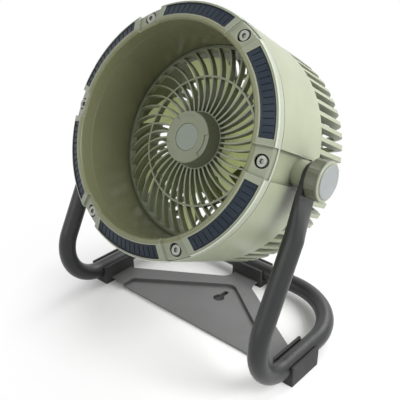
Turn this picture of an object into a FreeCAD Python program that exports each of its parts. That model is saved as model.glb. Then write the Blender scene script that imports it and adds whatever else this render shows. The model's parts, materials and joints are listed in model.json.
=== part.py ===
import FreeCAD, Part
import math
import os
from FreeCAD import Vector

# Portable camping fan: a ducted fan head that tilts between the arms of a bent tube stand.
# Millimetres. The stand stands on z = 0, the fan blows towards -y, and x runs to its right.
# The head is drawn along its own axis: x right, y up, z forward, with zero at the tilt pivot.

# Driving dimensions
tilt = 27.0                 # degrees that the fan looks up in the modelled pose
pivot_height = 207.5        # tilt pivot above the floor
pivot_y = -13.4             # puts the middle of the whole fan over y = 0
rim_radius = 120.0          # outside of the raised frames on the front bezel
mouth_radius = 99.6         # inside of the duct at the bezel
head_front = 61.2           # front lip ahead of the pivot
head_rear = -89.3           # rounded rear of the louvred barrel
wall = 2.6                  # moulded wall of the head shells
fin_count = 60              # louvre fins round the barrel
rib_count = 40              # spiral ribs of the front grille
blade_count = 7

# Front bezel
frame_count = 6
frame_half_angle = 23.4     # degrees each side of a raised frame's middle
pad_half_angle = 20.5
face_slope = 0.46           # the bezel face falls back this much per millimetre of radius
screw_circle = 111.0        # radius of the screw circle
frame_face_z = 57.6         # raised frame's face at the screw circle
flat_face_z = 55.0          # lower flats between the frames, at the screw circle
bezel_back_z = 45.6
flat_radius = 118.2         # outside of the flats between the frames
pad_inner_radius = 105.4
pad_outer_radius = 117.4
pad_sink = 1.0              # the pads lie this far under the frame's face
pad_thickness = 1.8
groove_count = 13           # grooves across each rim pad
groove_pitch = 3.0          # degrees
bezel_screw_radius = 2.5
bezel_screw_head_radius = 4.75
counterbore_radius = 6.2
counterbore_floor_z = 50.8
washer_outer_radius = 6.0

# Louvred barrel
barrel_front_radius = 119.8
seam_width = 1.1            # shadow gap between the barrel and the bezel
seam_depth = 1.6
louvre_start_z = -31.1
louvre_start_radius = 116.4
barrel_rear_radius = 115.1
rear_round = 12.0           # radius of the fins' rounded rear corner
fin_thickness = 4.3
fin_depth = 8.6
middle_ring_radius = 88.0
guard_rib_count = 30
pod_ring_outer = 60.0
pod_ring_inner = 49.0
guard_rear_z = -91.5
screw_boss_radius = 6.6
channel_floor_x = 115.0     # flat channel from the bezel back to the pivot boss
channel_half_width = 14.0
channel_rear_z = -16.5
boss_radius = 12.5
boss_face_x = 126.6

# Air duct and front grille
duct_wall = 2.2
lug_reach = 112.2           # the duct's forked lugs stop short of the barrel's wall
grille_seat_z = -15.6
duct_throat_radius = 95.4
grille_outer_radius = 97.4
grille_band = 3.4
grille_middle_radius = 64.2
grille_hub_radius = 28.6
grille_rim_z = -8.3
grille_hub_z = 2.9
grille_depth = 7.2
rib_thickness = 1.7
rib_middle_angle = 7.0      # degrees that a rib has turned at the middle ring
rib_outer_angle = 20.5      # and at the outer ring

# Hub, motor and impeller
hub_front_z = 18.6
hub_front_radius = 25.4
hub_base_radius = 27.6
hub_disc_radius = 13.3
impeller_hub_radius = 30.0
impeller_tip_radius = 92.5
shaft_radius = 2.5
bearing_radius = 5.5
running_gap = 0.05
can_radius = 24.4
blade_root_chord = 38.0
blade_tip_chord = 42.0
blade_root_pitch = 52.0     # degrees from the plane of rotation
blade_tip_pitch = 27.0
blade_sweep = 16.0          # degrees that the tip leads the root

# Battery pod and controls
pod_radius = 56.0
pod_front_z = -58.0
cell_radius = 9.2
cell_length = 65.0
cell_pitch = 18.9
cell_count = 4
cover_radius = 57.5
cover_rear_z = -96.0
dial_radius = 14.5
dial_recess = 3.5
button_x = -31.0
button_radius = 5.6
port_x = 31.0
port_width = 9.0
port_height = 3.3

# Stand
rail_x = 132.9              # side rails, centre of the tube
tube_radius = 9.5
tube_wall = 1.6
rail_z = 16.2
front_bend_radius = 44.9
front_bend_y = -25.6        # from the pivot, the same for the other stand sizes below
rear_bend_radius = 72.1
crossbar_y = 100.6
eye_thickness = 5.0         # flattened tube end
eye_half_width = 13.5
eye_length = 20.0
flatten_length = 36.0
eye_inner_x = 127.5
washer_thickness = 0.8
bolt_radius = 4.0
eye_hole_radius = 4.1
foot_half_width = 12.2
foot_height = 22.5
side_foot_y = (-27.6, 17.9)
rear_foot_half_length = 21.7
sheet = 1.6                 # base plate steel
pan_depth = 3.5
plate_front_y = -19.0
keyhole_y = 37.0
keyhole_radius = 6.5
keyhole_slot_half_width = 3.0
keyhole_slot_length = 13.0
foot_screw_radius = 2.0
foot_screw_spacing = 22.0

# Clamp knobs
knob_base_x = 132.7
knob_radius = 18.6
knob_face_x = 146.4
knob_disc_radius = 15.2
lobe_count = 8


def line(a, b):
    return Part.LineSegment(a, b).toShape()


def arc(a, middle, b):
    return Part.Arc(a, middle, b).toShape()


def outline(steps):
    # A closed outline in radius and z. A step is a point, or an arc's middle and end point.
    points = [Vector(steps[0][0], 0, steps[0][1])]
    edges = []
    for step in steps[1:] + [steps[0]]:
        if isinstance(step[0], tuple):
            middle, end = [Vector(r, 0, z) for r, z in step]
            edges.append(arc(points[-1], middle, end))
        else:
            end = Vector(step[0], 0, step[1])
            edges.append(line(points[-1], end))
        points.append(end)
    return Part.Face(Part.Wire(edges))


def revolve(steps, start=0.0, sweep=360.0):
    # Turns an outline about the head's axis, from one angle through another.
    shape = outline(steps).revolve(Vector(), Vector(0, 0, 1), sweep)
    return turned(shape, start)


def turned(shape, angle, axis=Vector(0, 0, 1), about=Vector()):
    copy = shape.copy()
    copy.rotate(about, axis, angle)
    return copy


def around(shape, count, start=0.0):
    return [turned(shape, start + k * 360.0 / count) for k in range(count)]


def polar(radius, angle, z=0.0):
    a = math.radians(angle)
    return Vector(radius * math.cos(a), radius * math.sin(a), z)


def post(radius, low, high, x=0.0, y=0.0):
    return Part.makeCylinder(radius, high - low, Vector(x, y, low))


def rod(radius, low_x, high_x, y=0.0, z=0.0):
    return Part.makeCylinder(radius, high_x - low_x, Vector(low_x, y, z), Vector(1, 0, 0))


def tube(outer, inner, low, high):
    return post(outer, low, high).cut(post(inner, low - 1, high + 1))


def block(x, y, z):
    return Part.makeBox(x[1] - x[0], y[1] - y[0], z[1] - z[0], Vector(x[0], y[0], z[0]))


def joined(shapes):
    first = shapes[0]
    return first.fuse(shapes[1:]).removeSplitter()


def slab(corners, low, high):
    # A plate with rounded corners. A corner is x, y and its radius.
    edges = []
    starts, ends = [], []
    count = len(corners)
    for k, (x, y, radius) in enumerate(corners):
        here = Vector(x, y, low)
        back = Vector(corners[k - 1][0], corners[k - 1][1], low) - here
        ahead = Vector(corners[(k + 1) % count][0], corners[(k + 1) % count][1], low) - here
        back.normalize()
        ahead.normalize()
        half = back.getAngle(ahead) / 2
        reach = radius / math.tan(half)
        start, end = here + back * reach, here + ahead * reach
        if radius:
            centre = here + (back + ahead).normalize() * (radius / math.sin(half))
            nearest = centre + (here - centre).normalize() * radius
            edges.append(arc(start, nearest, end))
        starts.append(start)
        ends.append(end)
    edges += [line(ends[k], starts[(k + 1) % count]) for k in range(count)]
    face = Part.Face(Part.Wire(Part.__sortEdges__(edges)))
    return face.extrude(Vector(0, 0, high - low))


def mirrored(shape):
    return shape.mirror(Vector(), Vector(1, 0, 0))


# Front bezel

def frame_face(radius):
    return frame_face_z - face_slope * (radius - screw_circle)


def flat_face(radius):
    return flat_face_z - face_slope * (radius - screw_circle)


def bezel_ring():
    inner_top, outer_top = mouth_radius + 2.0, flat_radius - 1.2
    return revolve([
        (mouth_radius, bezel_back_z),
        (mouth_radius, flat_face(inner_top) - 1.6),
        ((mouth_radius + 0.6, flat_face(inner_top) - 0.4), (inner_top, flat_face(inner_top))),
        (outer_top, flat_face(outer_top)),
        ((flat_radius - 0.3, flat_face(outer_top) - 0.8), (flat_radius, flat_face(outer_top) - 2.0)),
        (flat_radius, bezel_back_z + 1.8),
        (barrel_front_radius, bezel_back_z + 1.4),
        (barrel_front_radius, bezel_back_z)])


def raised_frame():
    inner_top, outer_top = mouth_radius + 2.6, rim_radius - 2.4
    profile = [
        (mouth_radius, bezel_back_z),
        (mouth_radius, head_front - 2.6),
        ((mouth_radius + 0.7, head_front - 0.8), (inner_top, frame_face(inner_top))),
        (outer_top, frame_face(outer_top)),
        ((rim_radius - 0.6, frame_face(outer_top) - 1.3), (rim_radius, frame_face(outer_top) - 3.2)),
        (rim_radius, bezel_back_z)]
    return revolve(profile, -frame_half_angle, 2 * frame_half_angle)


def pad_blank(top_sink, bottom_sink, half_angle, grow=0.0):
    inner, outer = pad_inner_radius - grow, pad_outer_radius + grow
    profile = [
        (inner, frame_face(inner) - bottom_sink),
        (inner, frame_face(inner) - top_sink),
        (outer, frame_face(outer) - top_sink),
        (outer, frame_face(outer) - bottom_sink)]
    return revolve(profile, -half_angle, 2 * half_angle)


def front_bezel():
    cavity = revolve([
        (mouth_radius + wall, bezel_back_z - 1),
        (mouth_radius + wall, flat_face(mouth_radius + wall) - wall),
        (flat_radius - wall, flat_face(flat_radius - wall) - wall),
        (flat_radius - wall, bezel_back_z - 1)])
    ring = joined([bezel_ring()] + around(raised_frame(), frame_count, 30.0))
    boss = post(7.2, bezel_back_z, counterbore_floor_z, screw_circle)
    ring = joined([ring.cut(cavity)] + around(boss, frame_count))
    recess = pad_blank(-3.0, pad_sink + pad_thickness, pad_half_angle, 0.15)
    drill = post(bezel_screw_radius + 0.3, bezel_back_z - 1, head_front, screw_circle)
    counterbore = post(counterbore_radius, counterbore_floor_z, head_front + 1, screw_circle)
    cuts = around(recess, frame_count, 30.0) + around(drill, frame_count) + around(counterbore, frame_count)
    return ring.cut(cuts)


def rim_pad(number):
    # Rubber insert with grooves across it, sunk in its frame.
    pad = pad_blank(pad_sink, pad_sink + pad_thickness, pad_half_angle - 0.1)
    length = 9.0
    slant = math.degrees(math.atan(face_slope))
    middle = (pad_inner_radius + pad_outer_radius) / 2
    groove = block((-length / 2, length / 2), (-0.5, 0.5), (-0.9, 2.0))
    groove = turned(groove, slant, Vector(0, 1, 0))
    groove.translate(Vector(middle, 0, frame_face(middle) - pad_sink))
    first = -groove_pitch * (groove_count - 1) / 2
    pad = pad.cut([turned(groove, first + k * groove_pitch) for k in range(groove_count)])
    return turned(pad, 30.0 + 60.0 * number)


def bezel_screws():
    head = post(bezel_screw_head_radius, counterbore_floor_z, flat_face_z - 0.5, screw_circle)
    socket = post(2.2, flat_face_z - 2.2, head_front, screw_circle)
    shank = post(bezel_screw_radius, bezel_back_z - 17, counterbore_floor_z, screw_circle)
    return Part.makeCompound(around(joined([head.cut(socket), shank]), frame_count))


def screw_washers():
    # Black sealing washers that show as dark rings round the screw heads.
    ring = tube(washer_outer_radius, bezel_screw_head_radius + 0.1, counterbore_floor_z, flat_face_z - 2.4)
    ring.translate(Vector(screw_circle, 0, 0))
    return Part.makeCompound(around(ring, frame_count))


# Louvred barrel with its rear guard

def barrel_wall():
    inner_front = barrel_front_radius - wall
    inner_rear = louvre_start_radius - wall
    return revolve([
        (barrel_front_radius, bezel_back_z - seam_width),
        (barrel_front_radius - seam_depth, bezel_back_z - seam_width),
        (barrel_front_radius - seam_depth, bezel_back_z),
        (inner_front, bezel_back_z),
        (inner_rear, louvre_start_z + wall),
        (louvre_start_radius - fin_depth, louvre_start_z + wall),
        (louvre_start_radius - fin_depth, louvre_start_z),
        (louvre_start_radius, louvre_start_z)])


def louvre_fin():
    # One fin runs back along the barrel, rounds the rear corner and ends at the middle ring.
    outer_centre = (barrel_rear_radius - rear_round, head_rear + rear_round)
    inner_round = rear_round - 5.5
    diagonal = math.sqrt(0.5)
    inner_wall = barrel_rear_radius - fin_depth
    inner_floor = head_rear + 4.4
    inner_centre = (inner_wall - inner_round, inner_floor + inner_round)
    face = outline([
        (louvre_start_radius, louvre_start_z + 1.0),
        (barrel_rear_radius, outer_centre[1]),
        ((outer_centre[0] + rear_round * diagonal, outer_centre[1] - rear_round * diagonal),
         (outer_centre[0], head_rear)),
        (middle_ring_radius, guard_rear_z + 1.2),
        (middle_ring_radius, inner_floor - 0.4),
        (inner_centre[0], inner_floor),
        ((inner_centre[0] + inner_round * diagonal, inner_centre[1] - inner_round * diagonal),
         (inner_wall, inner_centre[1])),
        (louvre_start_radius - fin_depth, louvre_start_z + 1.0)])
    face.translate(Vector(0, -fin_thickness / 2, 0))
    return face.extrude(Vector(0, fin_thickness, 0))


def guard_rib():
    inner, outer = pod_ring_outer - 1.0, middle_ring_radius
    half = 1.2
    face = outline([
        (inner, guard_rear_z + 0.4),
        (inner, guard_rear_z + 4.0),
        (outer, guard_rear_z + 5.2),
        (outer, guard_rear_z + 1.4)])
    face.translate(Vector(0, -half, 0))
    return face.extrude(Vector(0, 2 * half, 0))


def pivot_channel(side):
    # Flat floor and thick boss that carry the pivot on one side of the barrel.
    floor = block((channel_floor_x - wall, channel_floor_x + 2), (-16.5, 16.5),
                  (channel_rear_z - wall, bezel_back_z - seam_width))
    boss = rod(boss_radius, channel_floor_x - wall, boss_face_x)
    core = rod(8.5, 103.5, boss_face_x)
    solid = joined([floor, boss, core])
    return solid if side > 0 else turned(solid, 180)


def channel_cut(side):
    pocket = block((channel_floor_x, 130), (-channel_half_width, channel_half_width),
                   (channel_rear_z, bezel_back_z + 2))
    pocket = pocket.cut(rod(boss_radius, channel_floor_x - 1, 131))
    beyond = rod(boss_radius + 8, boss_face_x, 150)
    bore = rod(5.0, 103, boss_face_x + 1)
    solid = joined([pocket, beyond, bore])
    return solid if side > 0 else turned(solid, 180)


def barrel_housing():
    middle_ring = tube(middle_ring_radius + 2, middle_ring_radius - 2, guard_rear_z + 1.2, head_rear + 4.0)
    pod_ring = tube(pod_ring_outer, pod_ring_inner, guard_rear_z, guard_rear_z + 3.0)
    boss = post(screw_boss_radius, bezel_back_z - 20, bezel_back_z - 2, screw_circle)
    shells = [barrel_wall(), middle_ring, pod_ring, pivot_channel(1), pivot_channel(-1)]
    shells += around(boss, frame_count)
    shells += around(louvre_fin(), fin_count) + around(guard_rib(), guard_rib_count)
    drill = post(bezel_screw_radius, bezel_back_z - 19, bezel_back_z, screw_circle)
    cuts = [channel_cut(1), channel_cut(-1)] + around(drill, frame_count)
    return joined(shells).cut(cuts)


def pivot_insert(side):
    insert = rod(5.0, 104.5, boss_face_x - 0.3).cut(rod(bolt_radius + running_gap, 104, 127))
    return insert if side > 0 else turned(insert, 180)


# Air duct, front grille and hub

def air_duct():
    flange_back = bezel_back_z - 2.0
    rim = grille_outer_radius + 0.4
    throat_end = -50.0
    duct = revolve([
        (mouth_radius, bezel_back_z),
        (rim, grille_rim_z + 3),
        (rim, grille_seat_z),
        (duct_throat_radius, grille_seat_z),
        (duct_throat_radius, throat_end),
        ((duct_throat_radius + 2.2, throat_end - 5.2), (duct_throat_radius + 7.4, throat_end - 7.6)),
        (duct_throat_radius + 7.4, throat_end - 5.4),
        ((duct_throat_radius + 3.7, throat_end - 3.4), (duct_throat_radius + duct_wall, throat_end)),
        (duct_throat_radius + duct_wall, grille_seat_z - 3),
        (rim + duct_wall, grille_seat_z - 1),
        (rim + duct_wall, grille_rim_z + 3),
        (mouth_radius + duct_wall, flange_back - 1),
        (mouth_radius + duct_wall, flange_back),
        (106.5, flange_back),
        (106.5, bezel_back_z)])
    lug = post(screw_boss_radius, flange_back, bezel_back_z, screw_circle)
    drill = post(bezel_screw_radius + 0.3, flange_back - 1, bezel_back_z + 1, screw_circle)
    ring = tube(lug_reach, mouth_radius + 1, flange_back, bezel_back_z)
    lugs = [one.common(ring) for one in around(lug, frame_count)]
    return joined([duct] + lugs).cut(around(drill, frame_count))


def dome_band():
    # The grille is a shallow dome between two spheres on the head's axis.
    drop = grille_hub_z - grille_rim_z
    radius = (grille_outer_radius ** 2 - grille_hub_radius ** 2 + drop ** 2) / (2 * drop)
    centre_z = grille_hub_z - math.sqrt(radius ** 2 - grille_hub_radius ** 2)
    disc = post(grille_outer_radius + 1, grille_rim_z - grille_depth - 1, grille_hub_z + 2)
    front = Part.makeSphere(radius, Vector(0, 0, centre_z))
    back = Part.makeSphere(radius, Vector(0, 0, centre_z - grille_depth))
    return disc.common(front).cut(back)


def spiral_rib():
    # A rib is a slice of a thin ring through three points of its spiral.
    inner = polar(grille_hub_radius - 1.5, 0)
    middle = polar(grille_middle_radius, rib_middle_angle)
    outer = polar(grille_outer_radius - 1.0, rib_outer_angle)
    curve = arc(inner, middle, outer).Curve
    centre, radius = curve.Center, curve.Radius
    half = rib_thickness / 2
    low, high = grille_rim_z - grille_depth - 1, grille_hub_z + 2

    def offset(point, distance):
        away = (point - centre).normalize() * (radius + distance)
        return Vector(centre.x + away.x, centre.y + away.y, low)

    near = [offset(point, -half) for point in (inner, middle, outer)]
    far = [offset(point, half) for point in (inner, middle, outer)]
    wire = Part.Wire([arc(*near), line(near[2], far[2]), arc(far[2], far[1], far[0]), line(far[0], near[0])])
    return Part.Face(wire).extrude(Vector(0, 0, high - low))


def front_grille():
    low, high = grille_rim_z - grille_depth - 1, grille_hub_z + 2
    rings = [tube(grille_outer_radius, grille_outer_radius - grille_band, low, high),
             tube(grille_middle_radius + 1.0, grille_middle_radius - 1.0, low, high),
             post(grille_hub_radius, low, high)]
    ribs = around(spiral_rib(), rib_count)
    solid = joined(rings + ribs).common(dome_band())
    return solid.cut(post(hub_base_radius - 2.0, grille_hub_z - 4.0, high))


def hub_cap():
    floor_z = grille_hub_z - 4.0
    cap = revolve([
        (hub_base_radius - 2.1, floor_z),
        (hub_base_radius - 2.1, grille_hub_z + 0.7),
        (hub_base_radius, grille_hub_z + 0.7),
        (hub_front_radius, hub_front_z - 1.4),
        ((hub_front_radius - 0.4, hub_front_z - 0.4), (hub_front_radius - 1.4, hub_front_z)),
        (0.0, hub_front_z),
        (0.0, hub_front_z - 3.4),
        (hub_front_radius - 2.2, hub_front_z - 3.4),
        (hub_base_radius - 4.2, floor_z)])
    recess = post(hub_disc_radius + 0.1, hub_front_z - 1.0, hub_front_z + 1)
    step = revolve([(20.6, hub_front_z - 0.8), (26, hub_front_z - 0.8), (26, hub_front_z + 1),
                    (20.6, hub_front_z + 1)], -27, 54)
    return cap.cut([recess] + around(step, 3, -8.0))


def hub_disc():
    return revolve([(0.0, hub_front_z - 1.0), (hub_disc_radius, hub_front_z - 1.0),
                    (hub_disc_radius, hub_front_z - 0.5),
                    (hub_disc_radius - 0.5, hub_front_z - 0.1), (0.0, hub_front_z - 0.1)])


# Impeller and motor

def blade_section(radius, chord, pitch, lead, thickness):
    # A lens-shaped section across the blade, square to the radius through its middle.
    half = chord / 2
    p = math.radians(pitch)
    along = Vector(0, math.cos(p), math.sin(p))
    across = Vector(0, -math.sin(p), math.cos(p))
    camber = chord * 0.06
    spots = [along * -half, across * (camber + thickness / 2), along * half, across * (camber - thickness / 2)]
    base = Vector(radius, 0, -27.0)
    a, b, c, d = [base + spot for spot in spots]
    wire = Part.Wire([arc(a, b, c), arc(c, d, a)])
    wire.rotate(Vector(), Vector(0, 0, 1), lead)
    return wire


def impeller():
    # Blades leave the hub steep and wide and flatten towards the tip.
    middle = (impeller_hub_radius + impeller_tip_radius) / 2
    sections = [
        blade_section(impeller_hub_radius - 1.4, blade_root_chord, blade_root_pitch, 0.0, 3.0),
        blade_section(middle, (blade_root_chord + blade_tip_chord) / 2, 36.0, blade_sweep * 0.4, 2.4),
        blade_section(impeller_tip_radius + 2, blade_tip_chord, blade_tip_pitch, blade_sweep, 1.8)]
    blade = Part.makeLoft(sections, True)
    trim = tube(impeller_tip_radius, impeller_hub_radius - 1.2, -43.0, -11.0)
    hub = revolve([
        (shaft_radius, -14.0), (impeller_hub_radius - 4.0, -14.0),
        ((impeller_hub_radius - 1.2, -15.2), (impeller_hub_radius, -18.0)),
        (impeller_hub_radius, -43.0), (can_radius, -43.0), (can_radius, -20.0),
        (8.0, -20.0), (8.0, -24.0), (shaft_radius, -24.0)])
    return joined([hub] + around(blade.common(trim), blade_count))


def rotor_can():
    return revolve([(can_radius - 1.8, -50.0), (can_radius, -50.0), (can_radius, -20.0),
                    (8.0, -20.0), (8.0, -21.6), (can_radius - 1.8, -21.6)])


def motor_shaft():
    return post(shaft_radius, -56.0, -7.5)


def shaft_nut():
    nut = Part.Face(Part.makePolygon([polar(4.6, 60 * k, -14.0) for k in range(7)])).extrude(Vector(0, 0, 3.4))
    return nut.cut(post(shaft_radius, -15, -9))


def stator():
    # Laminated core with twelve teeth round the bearing tube.
    core = tube(13.0, 9.0, -48.0, -30.0)
    tooth = joined([block((12.5, 19.0), (-1.5, 1.5), (-48.0, -30.0)),
                    block((18.4, 20.4), (-4.0, 4.0), (-48.0, -30.0)).common(post(21.0, -48.0, -30.0))])
    return joined([core] + around(tooth, 12))


def bearing_tube():
    inner = bearing_radius
    return revolve([(inner, -57.0), (16.0, -57.0), (16.0, -54.5), (9.0, -54.5), (9.0, -26.0), (inner, -26.0)])


def motor_bearings():
    bearing = tube(bearing_radius, shaft_radius + running_gap, 0, 4.0)
    places = (-55.0, -31.0)
    bearings = []
    for z in places:
        one = bearing.copy()
        one.translate(Vector(0, 0, z))
        bearings.append(one)
    return Part.makeCompound(bearings)


# Battery pod and controls at the rear

def battery_pod():
    cup = revolve([
        (0.0, pod_front_z + 1.0), (pod_radius - 5, pod_front_z + 1.0),
        ((pod_radius - 1.4, pod_front_z - 0.4), (pod_radius, pod_front_z - 4.0)),
        (pod_radius, guard_rear_z + 3.0), (pod_radius - 2.4, guard_rear_z + 3.0),
        (pod_radius - 2.4, pod_front_z - 4.0), (pod_radius - 5, pod_front_z - 1.4), (0.0, pod_front_z - 1.4)])
    return cup


def battery_cells():
    first = -cell_pitch * (cell_count - 1) / 2
    z = pod_front_z - 2.0 - cell_radius
    cells = [rod(cell_radius, -cell_length / 2, cell_length / 2, first + k * cell_pitch, z)
             for k in range(cell_count)]
    return Part.makeCompound(cells)


def control_board():
    board = post(44.0, -84.0, -82.4)
    pot = block((-8, 8), (-8, 8), (-87.5, -84.0))
    switch = block((button_x - 3, button_x + 3), (-3, 3), (-87.5, -84.0))
    return joined([board, pot.cut(post(3.1, -90, -85)), switch])


def rear_cover():
    cover = revolve([
        (0.0, cover_rear_z), (cover_radius - 4, cover_rear_z),
        ((cover_radius - 1.0, cover_rear_z + 1.0), (cover_radius, cover_rear_z + 3.2)),
        (cover_radius, guard_rear_z), (pod_ring_inner - 0.2, guard_rear_z),
        (pod_ring_inner - 0.2, guard_rear_z + 3.0), (pod_ring_inner - 2.4, guard_rear_z + 3.0),
        (pod_ring_inner - 2.4, cover_rear_z + 2.4), (0.0, cover_rear_z + 2.4)])
    dish = post(dial_radius + 2.5, cover_rear_z + dial_recess - 2.4, cover_rear_z + dial_recess + 2.4)
    sunk = post(dial_radius + 1.0, cover_rear_z - 1, cover_rear_z + dial_recess)
    spindle = post(4.0, cover_rear_z - 1, cover_rear_z + 8)
    button_hole = post(button_radius + 0.3, cover_rear_z - 1, cover_rear_z + 5, button_x)
    port_hole = port_block(0.1, cover_rear_z - 1, cover_rear_z + 5)
    flap_seat = block((port_x - 8.2, port_x + 8.2), (-5.2, 5.2), (cover_rear_z - 1, cover_rear_z + 1.4))
    lights = level_light_bar(0.1)
    solid = joined([cover, dish])
    return solid.cut([sunk, spindle, button_hole, port_hole, flap_seat, lights])


def port_block(grow, low, high):
    half_w, half_h = port_width / 2 + grow, port_height / 2 + grow
    corners = [(port_x - half_w, -half_h, half_h * 0.95), (port_x + half_w, -half_h, half_h * 0.95),
               (port_x + half_w, half_h, half_h * 0.95), (port_x - half_w, half_h, half_h * 0.95)]
    return slab(corners, low, high)


def charge_port():
    shell = port_block(0.0, cover_rear_z + 1.5, cover_rear_z + 9.0)
    hollow = port_block(-0.5, cover_rear_z, cover_rear_z + 7.5)
    tongue = block((port_x - 3.0, port_x + 3.0), (-0.4, 0.4), (cover_rear_z + 2.4, cover_rear_z + 7.5))
    return joined([shell.cut(hollow), tongue])


def port_flap():
    # Rubber flap that closes the charging port, hinged along its upper edge.
    lid = block((port_x - 7.8, port_x + 7.8), (-4.8, 4.0), (cover_rear_z - 0.4, cover_rear_z + 0.9))
    roll = rod(0.9, port_x - 6.0, port_x + 6.0, 4.1, cover_rear_z + 0.3)
    plug = port_block(-0.9, cover_rear_z + 0.9, cover_rear_z + 2.2)
    return joined([lid, roll, plug])


def level_light_bar(grow):
    return block((-9 - grow, 9 + grow), (27 - grow, 29.6 + grow), (cover_rear_z - 0.2, cover_rear_z + 2.4))


def power_button():
    cap = revolve([(0.0, cover_rear_z - 1.6), (button_radius - 1.0, cover_rear_z - 1.6),
                   ((button_radius - 0.3, cover_rear_z - 1.3), (button_radius, cover_rear_z - 0.6)),
                   (button_radius, cover_rear_z + 2.6), (button_radius + 1.0, cover_rear_z + 2.9),
                   (button_radius + 1.0, cover_rear_z + 3.8), (0.0, cover_rear_z + 3.8)])
    cap.translate(Vector(button_x, 0, 0))
    return cap


def button_spring():
    # A short return spring between the cap and the switch.
    spring = tube(3.4, 2.6, cover_rear_z + 5.0, cover_rear_z + 8.4)
    spring.translate(Vector(button_x, 0, 0))
    return spring


def speed_dial():
    top = cover_rear_z - 6.5
    floor = cover_rear_z + dial_recess - 0.4
    dial = revolve([
        (0.0, top), (dial_radius - 2.4, top), ((dial_radius - 1.3, top + 0.4), (dial_radius - 1.0, top + 1.4)),
        (dial_radius, floor), (0.0, floor)])
    flute = post(1.5, top - 1, floor + 1, dial_radius + 0.6)
    mark = block((dial_radius - 8.0, dial_radius - 2.6), (-0.6, 0.6), (top - 1, top + 0.7))
    return dial.cut(around(flute, 18, 10.0) + [turned(mark, 90)])


def dial_spindle():
    return post(3.0, cover_rear_z + dial_recess - 0.4, -85.2)


# Stand

def arm_frame():
    # The arm leaves the pivot straight and meets the front bend at a tangent.
    centre_y, centre_z = front_bend_y, rail_z + front_bend_radius
    dy, dz = -centre_y, pivot_height - centre_z
    reach = math.hypot(dy, dz)
    angle = math.atan2(dz, dy) + math.acos(front_bend_radius / reach)
    tangent_y = centre_y + front_bend_radius * math.cos(angle)
    tangent_z = centre_z + front_bend_radius * math.sin(angle)
    down = Vector(0, tangent_y, tangent_z - pivot_height)
    return angle, Vector(rail_x, tangent_y, tangent_z), down.normalize()


def tube_path():
    angle, tangent, down = arm_frame()
    start = Vector(rail_x, 0, pivot_height) + down * (eye_length + flatten_length)
    bottom = Vector(rail_x, front_bend_y, rail_z)
    halfway = (angle + 1.5 * math.pi) / 2
    bend = Vector(rail_x, front_bend_y + front_bend_radius * math.cos(halfway),
                  rail_z + front_bend_radius + front_bend_radius * math.sin(halfway))
    rear_y = crossbar_y - rear_bend_radius
    rear_x = rail_x - rear_bend_radius
    reach = rear_bend_radius * math.sqrt(0.5)
    rail_end = Vector(rail_x, rear_y, rail_z)
    corner = Vector(rear_x + reach, rear_y + reach, rail_z)
    bar_end = Vector(rear_x, crossbar_y, rail_z)
    points = [start, tangent, bend, bottom, rail_end, corner, bar_end]
    edges = [line(start, tangent), arc(tangent, bend, bottom), line(bottom, rail_end),
             arc(rail_end, corner, bar_end)]
    s, t, b, f, r, c, e = [Vector(-p.x, p.y, p.z) for p in points]
    other = [line(e, bar_end), arc(e, c, r), line(r, f), arc(f, b, t), line(t, s)]
    return Part.Wire(edges + [other[0]] + other[1:]), start, down


def swept_tube(radius):
    path, start, down = tube_path()
    ring = Part.Wire(Part.makeCircle(radius, start, down))
    return path.makePipeShell([ring], True, False)


def flattened_end():
    # The tube is pressed flat at the pivot and opens back to round over a short length.
    _, start, down = tube_path()
    side = Vector(1, 0, 0).cross(down)
    pivot = Vector(0, 0, pivot_height)
    inner, outer = Vector(eye_inner_x, 0, 0), Vector(eye_inner_x + eye_thickness, 0, 0)

    def spot(along, across):
        return pivot + inner + down * along + side * across

    eye = Part.Face(Part.Wire([
        line(spot(eye_length, -eye_half_width), spot(0, -eye_half_width)),
        arc(spot(0, -eye_half_width), spot(-eye_half_width, 0), spot(0, eye_half_width)),
        line(spot(0, eye_half_width), spot(eye_length, eye_half_width)),
        line(spot(eye_length, eye_half_width), spot(eye_length, -eye_half_width))]))
    eye = eye.extrude(outer - inner)
    flat = Part.makePolygon([pivot + down * eye_length + x + side * (s * eye_half_width)
                             for x, s in ((inner, -1), (outer, -1), (outer, 1), (inner, 1), (inner, -1))])
    centre = Vector(rail_x, start.y, start.z)

    def round_spot(degrees):
        a = math.radians(degrees)
        return centre + Vector(1, 0, 0) * (tube_radius * math.cos(a)) + side * (tube_radius * math.sin(a))

    starts = (225, 315, 45, 135)
    ring = Part.Wire([arc(round_spot(a), round_spot(a + 45), round_spot(a + 90)) for a in starts])
    neck = Part.makeLoft([flat, ring], True, True)
    return eye, neck


def tube_frame():
    eye, neck = flattened_end()
    solid = joined([swept_tube(tube_radius).cut(swept_tube(tube_radius - tube_wall)),
                    eye, neck, mirrored(eye), mirrored(neck)])
    holes = [rod(eye_hole_radius, eye_inner_x - 1, eye_inner_x + eye_thickness + 1, 0, pivot_height),
             rod(eye_hole_radius, -eye_inner_x - eye_thickness - 1, -eye_inner_x + 1, 0, pivot_height)]
    return solid.cut(holes + screw_posts(foot_screw_radius, sheet, rail_z))


def screw_places():
    middle = (side_foot_y[0] + side_foot_y[1]) / 2
    half = foot_screw_spacing / 2
    places = [(side * rail_x, middle + k * half) for side in (-1, 1) for k in (-1, 1)]
    return places + [(k * half, crossbar_y) for k in (-1, 1)]


def screw_posts(radius, low, high):
    return [post(radius, low, high, x, y) for x, y in screw_places()]


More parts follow.
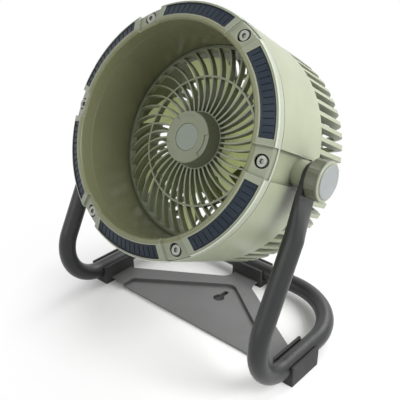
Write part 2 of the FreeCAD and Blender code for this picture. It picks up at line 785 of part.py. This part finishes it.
def base_plate():
    # Pressed sheet plate that ties the three feet together, with a sunk pan open to the front.
    top = rail_z - tube_radius
    ear_x, neck_x, rear_x = rail_x + 8.0, 115.0, 17.0
    corners = [
        (-ear_x, plate_front_y, 2), (ear_x, plate_front_y, 2), (ear_x, 12.5, 2), (neck_x, 12.5, 5),
        (rear_x + 3, 73.0, 8), (rear_x, 80.0, 6), (rear_x, crossbar_y + 8, 2), (-rear_x, crossbar_y + 8, 2),
        (-rear_x, 80.0, 6), (-rear_x - 3, 73.0, 8), (-neck_x, 12.5, 5), (-ear_x, 12.5, 2)]
    pan_corners = [(-101, -60, 1), (101, -60, 1), (101, -2.5, 6), (0, 68.0, 14), (-101, -2.5, 6)]
    inside_corners = [(-99.4, -60, 1), (99.4, -60, 1), (99.4, -3.4, 4.4), (0, 66.0, 12.4), (-99.4, -3.4, 4.4)]
    sheet_top = slab(corners, top - sheet, top)
    full = slab(corners, top - pan_depth - sheet, top)
    pan = slab(pan_corners, top - pan_depth - sheet, top).common(full)
    inside = slab(inside_corners, top - pan_depth, top + 1)
    head_hole = post(keyhole_radius, 0, top, 0, keyhole_y)
    slot_end = keyhole_y + keyhole_slot_length
    slot = block((-keyhole_slot_half_width, keyhole_slot_half_width), (keyhole_y, slot_end), (0, top))
    slot_round = post(keyhole_slot_half_width, 0, top, 0, slot_end)
    plate = joined([sheet_top, pan])
    return plate.cut([inside, head_hole, slot, slot_round] + screw_posts(foot_screw_radius + 0.3, 0, top + 1))


def tab_slot(low_x, high_x, low_y, high_y):
    top = rail_z - tube_radius
    return block((low_x, high_x), (low_y, high_y), (top - sheet, top + 0.4))


def cradle(half_length):
    # A rubber block with a round seat for the tube, its walls rising beside the tube.
    body = block((-foot_half_width, foot_half_width), (-half_length, half_length), (0, foot_height))
    edges = [edge for edge in body.Edges if abs(edge.Vertexes[0].Z - edge.Vertexes[-1].Z) > 1]
    body = body.makeFillet(1.2, edges)
    seat = Part.makeCylinder(tube_radius, 2 * half_length + 2, Vector(0, -half_length - 1, rail_z), Vector(0, 1, 0))
    mouth = block((-tube_radius, tube_radius), (-half_length - 1, half_length + 1), (rail_z, foot_height + 1))
    return body.cut([seat, mouth])


def side_foot(side):
    half_length = (side_foot_y[1] - side_foot_y[0]) / 2
    foot = cradle(half_length)
    foot.translate(Vector(side * rail_x, side_foot_y[0] + half_length, 0))
    inner, outer = side * (rail_x - foot_half_width - 1), side * (rail_x + 8.2)
    slot = tab_slot(min(inner, outer), max(inner, outer), plate_front_y - 0.2, 12.7)
    return drilled(foot.cut(slot))


def rear_foot():
    foot = turned(cradle(rear_foot_half_length), 90)
    foot.translate(Vector(0, crossbar_y, 0))
    slot = tab_slot(-17.2, 17.2, crossbar_y - foot_half_width - 1, crossbar_y + 8.2)
    return drilled(foot.cut(slot))


def drilled(foot):
    return foot.cut(screw_posts(foot_screw_radius, 0, rail_z) + screw_posts(4.1, -1, 3.0))


def foot_screws():
    screws = []
    for x, y in screw_places():
        head = post(4.0, 0.8, 3.0, x, y).cut(post(1.6, 0, 2.0, x, y))
        screws.append(joined([head, post(foot_screw_radius, 3.0, rail_z - tube_radius + 3.0, x, y)]))
    return Part.makeCompound(screws)


def friction_washer(side):
    outer_x = eye_inner_x
    washer = rod(boss_radius - 0.2, outer_x - washer_thickness, outer_x).cut(rod(bolt_radius + 0.4, 120, 130))
    washer.translate(Vector(0, 0, pivot_height))
    return washer if side > 0 else mirrored(washer)


# Clamp knobs, drawn about the pivot with x outwards

def clamp_knob():
    body = outline([
        (5.0, knob_base_x), (knob_radius - 1.0, knob_base_x), (knob_radius, knob_base_x + 1.2),
        (knob_radius, knob_face_x - 2.4),
        ((knob_radius - 0.5, knob_face_x - 0.8), (knob_radius - 2.0, knob_face_x)),
        (knob_disc_radius + 0.1, knob_face_x), (knob_disc_radius + 0.1, knob_face_x - 1.2),
        (5.0, knob_face_x - 1.2)])
    body = body.revolve(Vector(), Vector(0, 0, 1), 360)
    cutter_radius = 17.0
    flute = post(cutter_radius, knob_base_x - 1, knob_face_x - 2.0, knob_radius + cutter_radius - 1.7)
    return sideways(body.cut(around(flute, lobe_count, 22.5)))


def knob_disc():
    disc = outline([(0.0, knob_face_x - 1.2), (knob_disc_radius, knob_face_x - 1.2),
                    (knob_disc_radius, knob_face_x + 0.6), (knob_disc_radius - 0.6, knob_face_x + 1.2),
                    (0.0, knob_face_x + 1.2)])
    return sideways(disc.revolve(Vector(), Vector(0, 0, 1), 360))


def clamp_bolt():
    return joined([rod(bolt_radius, 106.0, knob_face_x - 2.0), rod(4.98, knob_base_x + 0.5, knob_face_x - 1.2)])


def sideways(shape):
    return turned(shape, 90, Vector(0, 1, 0))


# Placing

def on_head(shape):
    placed = turned(shape, 90 - tilt, Vector(1, 0, 0))
    placed.translate(Vector(0, pivot_y, pivot_height))
    return placed


def at_pivot(shape, side):
    placed = shape.copy() if side > 0 else mirrored(shape)
    placed.translate(Vector(0, pivot_y, pivot_height))
    return placed


def on_stand(shape):
    placed = shape.copy()
    placed.translate(Vector(0, pivot_y, 0))
    return placed


def pieces():
    stand = {
        "tube_frame": tube_frame(), "base_plate": base_plate(), "left_foot": side_foot(-1),
        "right_foot": side_foot(1), "rear_foot": rear_foot(), "foot_screws": foot_screws(),
        "left_friction_washer": friction_washer(-1), "right_friction_washer": friction_washer(1)}
    head = {
        "front_bezel": front_bezel(), "bezel_screws": bezel_screws(),
        "screw_washers": screw_washers(), "barrel_housing": barrel_housing(),
        "air_duct": air_duct(), "front_grille": front_grille(), "hub_cap": hub_cap(), "hub_disc": hub_disc(),
        "impeller": impeller(), "rotor_can": rotor_can(), "motor_shaft": motor_shaft(),
        "shaft_nut": shaft_nut(), "stator": stator(), "bearing_tube": bearing_tube(),
        "motor_bearings": motor_bearings(), "battery_pod": battery_pod(), "battery_cells": battery_cells(),
        "control_board": control_board(), "rear_cover": rear_cover(), "charge_port": charge_port(),
        "port_flap": port_flap(), "level_light": level_light_bar(0.0), "power_button": power_button(),
        "button_spring": button_spring(), "speed_dial": speed_dial(), "dial_spindle": dial_spindle(),
        "left_pivot_insert": pivot_insert(-1), "right_pivot_insert": pivot_insert(1)}
    for number in range(frame_count):
        head["rim_pad_%d" % (number + 1)] = rim_pad(number)
    placed = {name: on_stand(shape) for name, shape in stand.items()}
    placed.update({name: on_head(shape) for name, shape in head.items()})
    for side, word in ((-1, "left"), (1, "right")):
        placed[word + "_clamp_knob"] = at_pivot(clamp_knob(), side)
        placed[word + "_knob_disc"] = at_pivot(knob_disc(), side)
        placed[word + "_clamp_bolt"] = at_pivot(clamp_bolt(), side)
    return placed


def main():
    os.makedirs("parts", exist_ok=True)
    for name, shape in pieces().items():
        shape.exportStep("parts/%s.step" % name)
        print(name, "valid" if shape.isValid() else "NOT VALID", round(shape.Volume / 1000, 2), "cm3")


main()
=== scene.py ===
import json
import math
import bpy
import bmesh
from mathutils import Matrix, Vector


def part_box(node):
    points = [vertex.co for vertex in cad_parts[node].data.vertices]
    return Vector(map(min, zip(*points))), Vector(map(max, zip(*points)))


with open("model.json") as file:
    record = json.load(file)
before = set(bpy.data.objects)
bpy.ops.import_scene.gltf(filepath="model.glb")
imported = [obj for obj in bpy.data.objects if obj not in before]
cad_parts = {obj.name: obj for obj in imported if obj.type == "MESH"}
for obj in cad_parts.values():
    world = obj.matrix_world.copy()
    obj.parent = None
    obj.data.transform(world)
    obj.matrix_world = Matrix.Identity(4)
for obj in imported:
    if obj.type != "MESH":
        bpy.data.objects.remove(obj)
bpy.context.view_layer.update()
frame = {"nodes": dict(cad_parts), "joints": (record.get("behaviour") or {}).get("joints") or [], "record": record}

nodes = frame["nodes"]
jointOf = {joint["name"]: joint for joint in frame["joints"]}
mm = 0.001

# The head's own axis, which runs forwards through the tilt pivot
pivot = Vector(jointOf["head_tilt"]["pos_m"])
forward = Vector(jointOf["impeller_spin"]["axis"]).normalized()
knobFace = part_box("right_clamp_knob")[1][0]   # how far out the knobs' outer faces are
print("frame loaded with", len(nodes), "CAD nodes")


# Shader expressions: a socket with the operators that the finishes use

class Sock:
    def __init__(self, finish, socket):
        self.finish = finish
        self.socket = socket

    def math(self, operation, *others):
        values = {0: self, **dict(enumerate(others, 1))}
        return self.finish.add("ShaderNodeMath", {"operation": operation}, values)

    def __add__(self, other):
        return self.math("ADD", other)

    def __sub__(self, other):
        return self.math("SUBTRACT", other)

    def __mul__(self, other):
        return self.math("MULTIPLY", other)

    def __rsub__(self, other):
        return self.finish.add("ShaderNodeMath", {"operation": "SUBTRACT"}, {0: other, 1: self})

    __radd__ = __add__
    __rmul__ = __mul__


def rgba(color):
    # a colour socket takes a link as it is, and a plain colour with its alpha
    return color if isinstance(color, Sock) else (*color, 1)


def scaled(color, gain, lift=0.0):
    return [min(1.0, channel * gain + lift) for channel in color]


maskValues = {
    "edge": (0.02, 0.2),        # how far the bevelled normal leans on a faint edge and on a full one
    "crevice": (0.15, 0.85),    # how much is shut off in an open corner and in a deep one
    "bevelSamples": 4, "creviceSamples": 6,
    "softness": 0.45 * mm}      # the radius that every edge seems to have
noiseMiddle = 0.5


class Finish:
    # One material with its node tree
    def __init__(self, name):
        self.material = bpy.data.materials.new(name)
        self.material.use_nodes = True
        self.tree = self.material.node_tree
        self.shader = self.tree.nodes["Principled BSDF"]
        self.place = self.add("ShaderNodeTexCoord", out="Object")

    def add(self, kind, settings=None, inputs=None, out=0):
        node = self.tree.nodes.new(kind)
        for key, value in (settings or {}).items():
            setattr(node, key, value)
        for key, value in (inputs or {}).items():
            self.join(value, node.inputs[key])
        return Sock(self, node.outputs[out])

    def join(self, value, target):
        if isinstance(value, Sock):
            self.tree.links.new(value.socket, target)
        else:
            target.default_value = value

    def vectorMath(self, operation, first, second=None, out=0):
        inputs = {0: first} if second is None else {0: first, 1: second}
        return self.add("ShaderNodeVectorMath", {"operation": operation}, inputs, out)

    def noise(self, scale, detail, rough):
        inputs = {"Vector": self.place, "Scale": scale, "Detail": detail, "Roughness": rough}
        return self.add("ShaderNodeTexNoise", None, inputs)

    def speckle(self, scale):
        return self.add("ShaderNodeTexVoronoi", None, {"Vector": self.place, "Scale": scale})

    def band(self, value, low, high):
        # 0 up to low, 1 from high, where low may also be the larger one
        return self.add("ShaderNodeMapRange", None, {"Value": value, "From Min": low, "From Max": high})

    def blend(self, mask, colorA, colorB):
        # colorA where the mask is 0, colorB where it is 1: a Mix node's colours are inputs 6 and 7, output 2
        inputs = {"Factor": mask, 6: rgba(colorA), 7: rgba(colorB)}
        return self.add("ShaderNodeMix", {"data_type": "RGBA"}, inputs, out=2)

    def fromAxis(self):
        # distance from the head's own axis, in metres
        offset = self.vectorMath("SUBTRACT", self.place, pivot)
        return self.vectorMath("LENGTH", self.vectorMath("CROSS_PRODUCT", offset, forward), out="Value")

    def outwards(self, reach, blur):
        # 1 on what lies further out along the tilt axis than reach, on either side
        side = self.add("ShaderNodeSeparateXYZ", None, {0: self.place}, out="X")
        return self.band(side.math("ABSOLUTE"), reach, reach + blur)

    def ringLine(self, radius, width):
        # 1 on a thin ring round the head's axis
        away = self.fromAxis()
        return self.band(away, radius - width, radius) * self.band(away, radius + width, radius)

    def bevelled(self, radius):
        settings = {"samples": maskValues["bevelSamples"]}
        return self.add("ShaderNodeBevel", settings, {"Radius": radius}, out="Normal")

    def edges(self, radius):
        # 1 where a bevelled normal leans away from the plain one, so on edges
        plain = self.add("ShaderNodeNewGeometry", out="Normal")
        dot = self.vectorMath("DOT_PRODUCT", self.bevelled(radius), plain, out="Value")
        return self.band(1 - dot, *maskValues["edge"])

    def crevice(self, reach):
        # 1 deep in corners and slots, 0 in the open
        settings = {"samples": maskValues["creviceSamples"]}
        clear = self.add("ShaderNodeAmbientOcclusion", settings, {"Distance": reach}, out="AO")
        return self.band(1 - clear, *maskValues["crevice"])

    def finish(self, color, rough, height, depth, metal=0.0, **extra):
        # extra holds further inputs of the shader by their names
        bump = self.add("ShaderNodeBump", None, {"Distance": depth, "Height": height,
                                                 "Normal": self.bevelled(maskValues["softness"])})
        values = {"Base Color": rgba(color), "Roughness": rough, "Metallic": metal, "Normal": bump, **extra}
        for key, value in values.items():
            self.join(value, self.shader.inputs[key])
        return self.material


# Finishes. A noise is given by its scale, detail and roughness, and a range by where its mask is 0 and 1

plasticLook = {
    "clouds": (18.0, 4.0, 0.55), "cloudRange": (0.35, 0.7), "cloudGloss": 0.14,
    "grainDetail": 3.0, "grainRough": 0.6, "grainRange": (0.55, 0.8), "grainTint": 0.10, "grainGloss": 0.12,
    "coarseScale": 0.3, "coarseDetail": 2.0, "coarseRough": 0.5, "coarseHeight": 0.5,
    "paleGain": 1.45, "paleLift": 0.03,          # the pale edges' colour, from the plain one: partly rubbed plastic, partly painted highlight
    "rubAndHighlightRange": (0.3, 0.75), "rubAndHighlightLeast": 0.4,  # the rubbing and painted highlight come and go, but never quite end
    "wornGloss": 0.08,
    "paintedCornerTone": 0.30,                           # the colour of the painted shade in corners, from the dark one
    "innerBlur": 0.3 * mm,
    "capDepth": 0.9 * mm, "capBlur": 0.2 * mm}   # how far in from a knob's outer face its colour starts


def mouldedPlastic(name, color, dark, rough, grain=1400.0, depth=0.06 * mm, soil=0.75, reach=11 * mm,
                   shine=0.6, rim=0.9 * mm, inner=None, rings=(), capColor=None, **extra):
    # Spark-eroded mould texture, with slow changes of colour, pale edges that are partly rubbed and partly painted
    # highlight, and painted shade in corners.
    # inner is a second colour, inside a radius from the head's axis; rings are lines round that axis;
    # capColor is the colour of a knob's outer face
    look = plasticLook
    f = Finish(name)
    fine = f.noise(grain, look["grainDetail"], look["grainRough"])
    slow = f.noise(*look["clouds"])
    rubbedAndHighlitEdge = f.edges(rim)
    tone = f.blend(f.band(slow, *look["cloudRange"]), color, dark)
    if inner:
        radius, blur = inner["radius"], look["innerBlur"]
        within = f.band(f.fromAxis(), radius + blur, radius - blur)
        tone = f.blend(within, tone, inner["color"])
    rubAndHighlightAmount = f.band(slow, *look["rubAndHighlightRange"]) * (1 - look["rubAndHighlightLeast"]) + look["rubAndHighlightLeast"]
    # painted shade: darker in corners, slots and recesses, where shade falls
    tone = f.blend(f.crevice(reach) * soil, tone, scaled(dark, look["paintedCornerTone"]))
    # pale edges: rubbed plastic, with a painted highlight along them
    tone = f.blend(rubbedAndHighlitEdge * rubAndHighlightAmount * shine, tone, scaled(color, look["paleGain"], look["paleLift"]))
    tone = f.blend(f.band(fine, *look["grainRange"]) * look["grainTint"], tone, dark)
    for ring in rings:
        tone = f.blend(f.ringLine(ring["radius"], ring["width"]) * ring["weight"], tone, ring["color"])
    if capColor:
        tone = f.blend(f.outwards(knobFace - look["capDepth"], look["capBlur"]), tone, capColor)
    gloss = rough + (slow - noiseMiddle) * look["cloudGloss"] + (fine - noiseMiddle) * look["grainGloss"]
    coarse = f.noise(grain * look["coarseScale"], look["coarseDetail"], look["coarseRough"])
    height = fine + coarse * look["coarseHeight"]
    return f.finish(tone, gloss - rubbedAndHighlitEdge * look["wornGloss"], height, depth, **extra)


plastics = {
    # the shell's painted shade reaches far, to darken the channel and round the pivot boss
    "green_shell": {"name": "shellGreen", "color": (0.35, 0.38, 0.265), "dark": (0.30, 0.325, 0.22),
                    "rough": 0.36, "soil": 0.85, "reach": 24 * mm},
    "dark_duct": {"name": "ductOlive", "color": (0.175, 0.182, 0.100), "dark": (0.140, 0.146, 0.078),
                  "rough": 0.28},
    "grey_trim": {"name": "trimGrey", "color": (0.25, 0.27, 0.185), "dark": (0.21, 0.23, 0.155),
                  "rough": 0.42},
    "pale_trim": {"name": "trimPale", "color": (0.285, 0.305, 0.305), "dark": (0.25, 0.27, 0.268),
                  "rough": 0.40},
    # A little light of its own stands in for the light that comes through thin pale blades
    "impeller_plastic": {"name": "impellerPlastic", "color": (0.70, 0.76, 0.40), "dark": (0.62, 0.68, 0.34),
                         "rough": 0.40, "soil": 0.1,
                         "Emission Color": (0.60, 0.64, 0.34, 1), "Emission Strength": 0.22},
    "cell_wrap": {"name": "cellWrap", "color": (0.04, 0.20, 0.19), "dark": (0.03, 0.16, 0.15),
                  "rough": 0.22, "grain": 300.0, "depth": 0.02 * mm},
    "light_bar": {"name": "lightBar", "color": (0.74, 0.78, 0.74), "dark": (0.66, 0.70, 0.66),
                  "rough": 0.25}}

# Pieces with a plastic of their own
knobPlastic = {"name": "knobGreen", "color": (0.130, 0.138, 0.094), "dark": (0.106, 0.114, 0.075),
               "rough": 0.34, "capColor": (0.30, 0.32, 0.235)}
discPlastic = {"name": "hubDiscGreen", "color": (0.265, 0.305, 0.255), "dark": (0.235, 0.27, 0.225),
               "rough": 0.34}
bezelPlastic = {
    "name": "bezelGreen", "color": (0.265, 0.288, 0.215), "dark": (0.225, 0.245, 0.18),
    # a wider, stronger pale edge: rubbed plastic and a painted highlight along the frames
    "rough": 0.33, "shine": 0.85, "rim": 1.6 * mm, "Specular IOR Level": 0.34,
    "inner": {"radius": 104.2 * mm, "color": (0.172, 0.179, 0.098)},
    # a painted shadow line and a painted highlight on the lip at the rim, as colour alone
    "rings": ({"radius": 118.6 * mm, "width": 0.4 * mm, "weight": 0.7, "color": (0.05, 0.055, 0.035)},
              {"radius": 119.6 * mm, "width": 0.6 * mm, "weight": 0.8, "color": (0.62, 0.66, 0.56)})}


coatLook = {
    "clouds": (14.0, 5.0, 0.6), "cloudRange": (0.35, 0.7), "cloudGloss": 0.2,
    "grainScale": 1500.0, "grainRange": (0.1, 0.7), "grainTint": 0.22, "depth": 0.09 * mm,
    "rim": 0.8 * mm, "rubRange": (0.4, 0.7), "rub": 0.6, "paleGain": 1.5, "paleLift": 0.02,
    # reach, strength and colour of the painted shade in corners
    "reach": 7 * mm, "soil": 0.85, "paintedCornerTone": 0.25}


def powderCoat(name, color, dark, rough, **extra):
    # Textured powder coat: small domed grains, with pale rubbed edges, and painted shade in corners and at steps
    look = coatLook
    f = Finish(name)
    grains = f.speckle(look["grainScale"])
    slow = f.noise(*look["clouds"])
    tone = f.blend(f.band(slow, *look["cloudRange"]), color, dark)
    tone = f.blend(f.band(grains, *look["grainRange"]) * look["grainTint"], tone, dark)
    # painted shade: darker in corners and at the pan's step, where shade falls
    tone = f.blend(f.crevice(look["reach"]) * look["soil"], tone, scaled(color, look["paintedCornerTone"]))
    rubbed = f.edges(look["rim"]) * f.band(slow, *look["rubRange"]) * look["rub"]
    tone = f.blend(rubbed, tone, scaled(color, look["paleGain"], look["paleLift"]))
    gloss = rough + (slow - noiseMiddle) * look["cloudGloss"]
    return f.finish(tone, gloss, 1 - grains, look["depth"], **extra)


coats = {
    "tube_paint": {"name": "tubePaint", "color": (0.021, 0.022, 0.022), "dark": (0.016, 0.017, 0.017),
                   "rough": 0.30, "Specular IOR Level": 0.42},
    "plate_paint": {"name": "platePaint", "color": (0.150, 0.153, 0.151), "dark": (0.122, 0.125, 0.123),
                    "rough": 0.32}}


rubberLook = {
    "grain": (1700.0, 3.0, 0.6), "depth": 0.07 * mm,
    "clouds": (30.0, 4.0, 0.6), "cloudRange": (0.4, 0.75), "cloudTint": 0.6, "cloudGloss": 0.18,
    "rim": 0.9 * mm, "dust": 0.5,
    "borderWidth": 0.45 * mm, "borderTint": 0.8, "borderShade": 0.25, "borderDepth": 3.0}


def mouldedRubber(name, color, pale, rough, borders=(), **extra):
    # Fine grain with dusty edges; borders are the radii of lines pressed in round the head's axis
    look = rubberLook
    f = Finish(name)
    height = f.noise(*look["grain"])
    slow = f.noise(*look["clouds"])
    tone = f.blend(f.band(slow, *look["cloudRange"]) * look["cloudTint"], color, pale)
    tone = f.blend(f.edges(look["rim"]) * look["dust"], tone, pale)
    for radius in borders:
        line = f.ringLine(radius, look["borderWidth"])
        tone = f.blend(line * look["borderTint"], tone, scaled(color, look["borderShade"]))
        height = height - line * look["borderDepth"]
    gloss = rough + (slow - noiseMiddle) * look["cloudGloss"]
    return f.finish(tone, gloss, height, look["depth"], **extra)


rubbers = {
    "slate_rubber": {"name": "slateRubber", "color": (0.010, 0.017, 0.027), "pale": (0.030, 0.043, 0.058),
                     "rough": 0.50, "borders": (106.6 * mm, 116.2 * mm), "Specular IOR Level": 0.26},
    "foot_rubber": {"name": "footRubber", "color": (0.018, 0.018, 0.018), "pale": (0.06, 0.06, 0.058),
                    "rough": 0.72},
    "fibre_washer": {"name": "fibreWasher", "color": (0.05, 0.045, 0.04), "pale": (0.09, 0.08, 0.07),
                     "rough": 0.8}}


metalLook = {
    "grain": (5400.0, 4.0, 0.6), "grainGloss": 0.25, "depth": 0.02 * mm,
    "clouds": (120.0, 3.0, 0.5), "cloudRange": (0.35, 0.7), "cloudShade": 0.78, "cloudGloss": 0.12,
    "reach": 2.5 * mm, "paintedCornerTone": 0.06}


def turnedMetal(name, color, rough, metal=1.0):
    # Bare or plated metal with a very fine grain, slight clouding and painted shade in its recesses
    look = metalLook
    f = Finish(name)
    grain = f.noise(*look["grain"])
    cloud = f.noise(*look["clouds"])
    tone = f.blend(f.band(cloud, *look["cloudRange"]), color, scaled(color, look["cloudShade"]))
    # painted shade in recesses, such as the screw sockets
    tone = f.blend(f.crevice(look["reach"]), tone, scaled(color, look["paintedCornerTone"]))
    gloss = rough + (grain - noiseMiddle) * look["grainGloss"] + (cloud - noiseMiddle) * look["cloudGloss"]
    return f.finish(tone, gloss, grain, look["depth"], metal)


metals = {
    "steel": {"name": "platedSteel", "color": (0.34, 0.35, 0.31), "rough": 0.45, "metal": 0.7},
    "motor_steel": {"name": "motorSteel", "color": (0.36, 0.37, 0.39), "rough": 0.38},
    "brass": {"name": "turnedBrass", "color": (0.70, 0.52, 0.24), "rough": 0.32},
    "copper_winding": {"name": "copperWinding", "color": (0.60, 0.25, 0.12), "rough": 0.3}}


boardLook = {"name": "circuitBoard", "color": (0.01, 0.12, 0.05), "pale": (0.02, 0.20, 0.08), "rough": 0.35,
             "trackScale": 300.0, "trackRange": (0.3, 0.5), "trackGloss": 0.2, "depth": 0.05 * mm}


def circuitBoard():
    look = boardLook
    f = Finish(look["name"])
    tracks = f.speckle(look["trackScale"])
    tone = f.blend(f.band(tracks, *look["trackRange"]), look["color"], look["pale"])
    return f.finish(tone, look["rough"] + tracks * look["trackGloss"], tracks, look["depth"])


finishes = {"board": circuitBoard()}
for makeFinish, group in ((mouldedPlastic, plastics), (powderCoat, coats), (mouldedRubber, rubbers),
                          (turnedMetal, metals)):
    for slot, values in group.items():
        finishes[slot] = makeFinish(**values)

knobGreen = mouldedPlastic(**knobPlastic)
specialFinishes = {"left_clamp_knob": knobGreen, "right_clamp_knob": knobGreen,
                   "front_bezel": mouldedPlastic(**bezelPlastic), "hub_disc": mouldedPlastic(**discPlastic)}
slotOf = {entry["node"]: entry["material_slot"] for entry in frame["record"]["subparts"]}
for name, node in nodes.items():
    node.data.materials.clear()
    node.data.materials.append(specialFinishes.get(name, finishes[slotOf[name]]))
print("finishes given to the CAD nodes")


# Camera, floor and light

cameraValues = {"azimuth": 41.14, "elevation": 26.44, "roll": 0.2695, "focal": 58.41, "sensor": 36.0,
                "place": (391.72, -445.18, 437.41)}   # place in millimetres from under the tilt pivot


def addCamera():
    values = cameraValues
    data = bpy.data.cameras.new("camera")
    data.lens = values["focal"]
    data.sensor_width = values["sensor"]
    camera = bpy.data.objects.new("camera", data)
    bpy.context.collection.objects.link(camera)
    turn = (Matrix.Rotation(math.radians(values["azimuth"]), 4, "Z")
            @ Matrix.Rotation(math.radians(90 - values["elevation"]), 4, "X")
            @ Matrix.Rotation(math.radians(values["roll"]), 4, "Z"))
    x, y, z = [value * mm for value in values["place"]]
    camera.matrix_world = Matrix.Translation((x, y + pivot.y, z)) @ turn
    bpy.context.scene.camera = camera


floorValues = {
    "size": 30.0, "color": 0.95, "shade": 0.985, "mottle": (6.0, 3.0, 0.5), "rough": 0.9, "depth": 0.05 * mm,
    # how far the floor clears to white under the fan and near it, and the rings where that changes
    "under": 0.0, "near": 0.93, "rings": (0.12, 0.23, 0.34),
    # a painted shadow under the base plate, for its keyhole to look down on
    "shadowPatchMiddle": (0.0, 0.025, 0.0), "shadowPatchRange": (0.045, 0.025), "shadowPatchColor": (0.05, 0.05, 0.05)}


def backgroundRays(f):
    # 1 for what the camera sees straight on, mirrored or through glass
    straight = f.add("ShaderNodeLightPath", out="Is Camera Ray")
    mirrored = f.add("ShaderNodeLightPath", out="Is Glossy Ray")
    throughGlass = f.add("ShaderNodeLightPath", out="Is Transmission Ray")
    return f.band(straight + mirrored + throughGlass, 0.0, 1.0)


def addFloor():
    # Pale floor that keeps the object's shadow and clears to white away from it
    values = floorValues
    bm = bmesh.new()
    bmesh.ops.create_grid(bm, x_segments=1, y_segments=1, size=values["size"] / 2)
    mesh = bpy.data.meshes.new("floor")
    bm.to_mesh(mesh)
    bm.free()
    floor = bpy.data.objects.new("floor", mesh)
    bpy.context.collection.objects.link(floor)
    f = Finish("floorPale")
    mottle = f.noise(*values["mottle"])
    plain = [values["color"]] * 3
    tone = f.blend(mottle, plain, scaled(plain, values["shade"]))
    # painted shadow on the floor under the base plate
    fromShadowPatch = f.vectorMath("DISTANCE", f.place, values["shadowPatchMiddle"], out="Value")
    tone = f.blend(f.band(fromShadowPatch, *values["shadowPatchRange"]), tone, values["shadowPatchColor"])
    f.finish(tone, values["rough"], mottle, values["depth"])
    away = f.vectorMath("LENGTH", f.place, out="Value")
    inner, middle, outer = values["rings"]
    near = f.band(away, inner, middle) * (values["near"] - values["under"]) + values["under"]
    lift = (near + f.band(away, middle, outer) * (1 - values["near"])) * backgroundRays(f)
    glow = f.add("ShaderNodeEmission", None, {"Color": (1, 1, 1, 1), "Strength": 1.0})
    shown = f.add("ShaderNodeMixShader", None, {0: lift, 1: Sock(f, f.shader.outputs[0]), 2: glow})
    f.join(shown, f.tree.nodes["Material Output"].inputs["Surface"])
    mesh.materials.append(f.material)


lampValues = {
    "key": {"at": (1.75, 0.15, 1.55), "size": 1.3, "power": 46.0},
    "fill": {"at": (-0.6, -2.2, 1.5), "size": 1.8, "power": 17.0},
    "back": {"at": (0.1, 1.9, 1.7), "size": 1.5, "power": 25.0}}
lampAim = Vector((0, 0, 0.17))
worldValues = {"light": 0.42, "shown": 1.0}


def addLights():
    for name, values in lampValues.items():
        data = bpy.data.lights.new(name, "AREA")
        data.size = values["size"]
        data.energy = values["power"]
        lamp = bpy.data.objects.new(name, data)
        lamp.location = values["at"]
        lamp.rotation_euler = (lampAim - lamp.location).to_track_quat("-Z", "Y").to_euler()
        bpy.context.collection.objects.link(lamp)


def addWorld():
    # White where it is seen, straight on or mirrored, and dimmer as a light
    world = bpy.data.worlds.new("studio")
    world.use_nodes = True
    bpy.context.scene.world = world
    tree = world.node_tree
    lighting = tree.nodes["Background"]
    shown = tree.nodes.new("ShaderNodeBackground")
    for background, strength in ((lighting, worldValues["light"]), (shown, worldValues["shown"])):
        background.inputs["Color"].default_value = (1, 1, 1, 1)
        background.inputs["Strength"].default_value = strength
    rays = tree.nodes.new("ShaderNodeLightPath")
    seen = tree.nodes.new("ShaderNodeMath")   # adds, as a Math node does by default
    mix = tree.nodes.new("ShaderNodeMixShader")
    tree.links.new(rays.outputs["Is Camera Ray"], seen.inputs[0])
    tree.links.new(rays.outputs["Is Glossy Ray"], seen.inputs[1])
    tree.links.new(seen.outputs[0], mix.inputs[0])
    tree.links.new(lighting.outputs[0], mix.inputs[1])
    tree.links.new(shown.outputs[0], mix.inputs[2])
    tree.links.new(mix.outputs[0], tree.nodes["World Output"].inputs["Surface"])


addCamera()
addFloor()
addLights()
addWorld()
bpy.context.scene.view_settings.view_transform = "Standard"
print("camera, floor and lights placed")
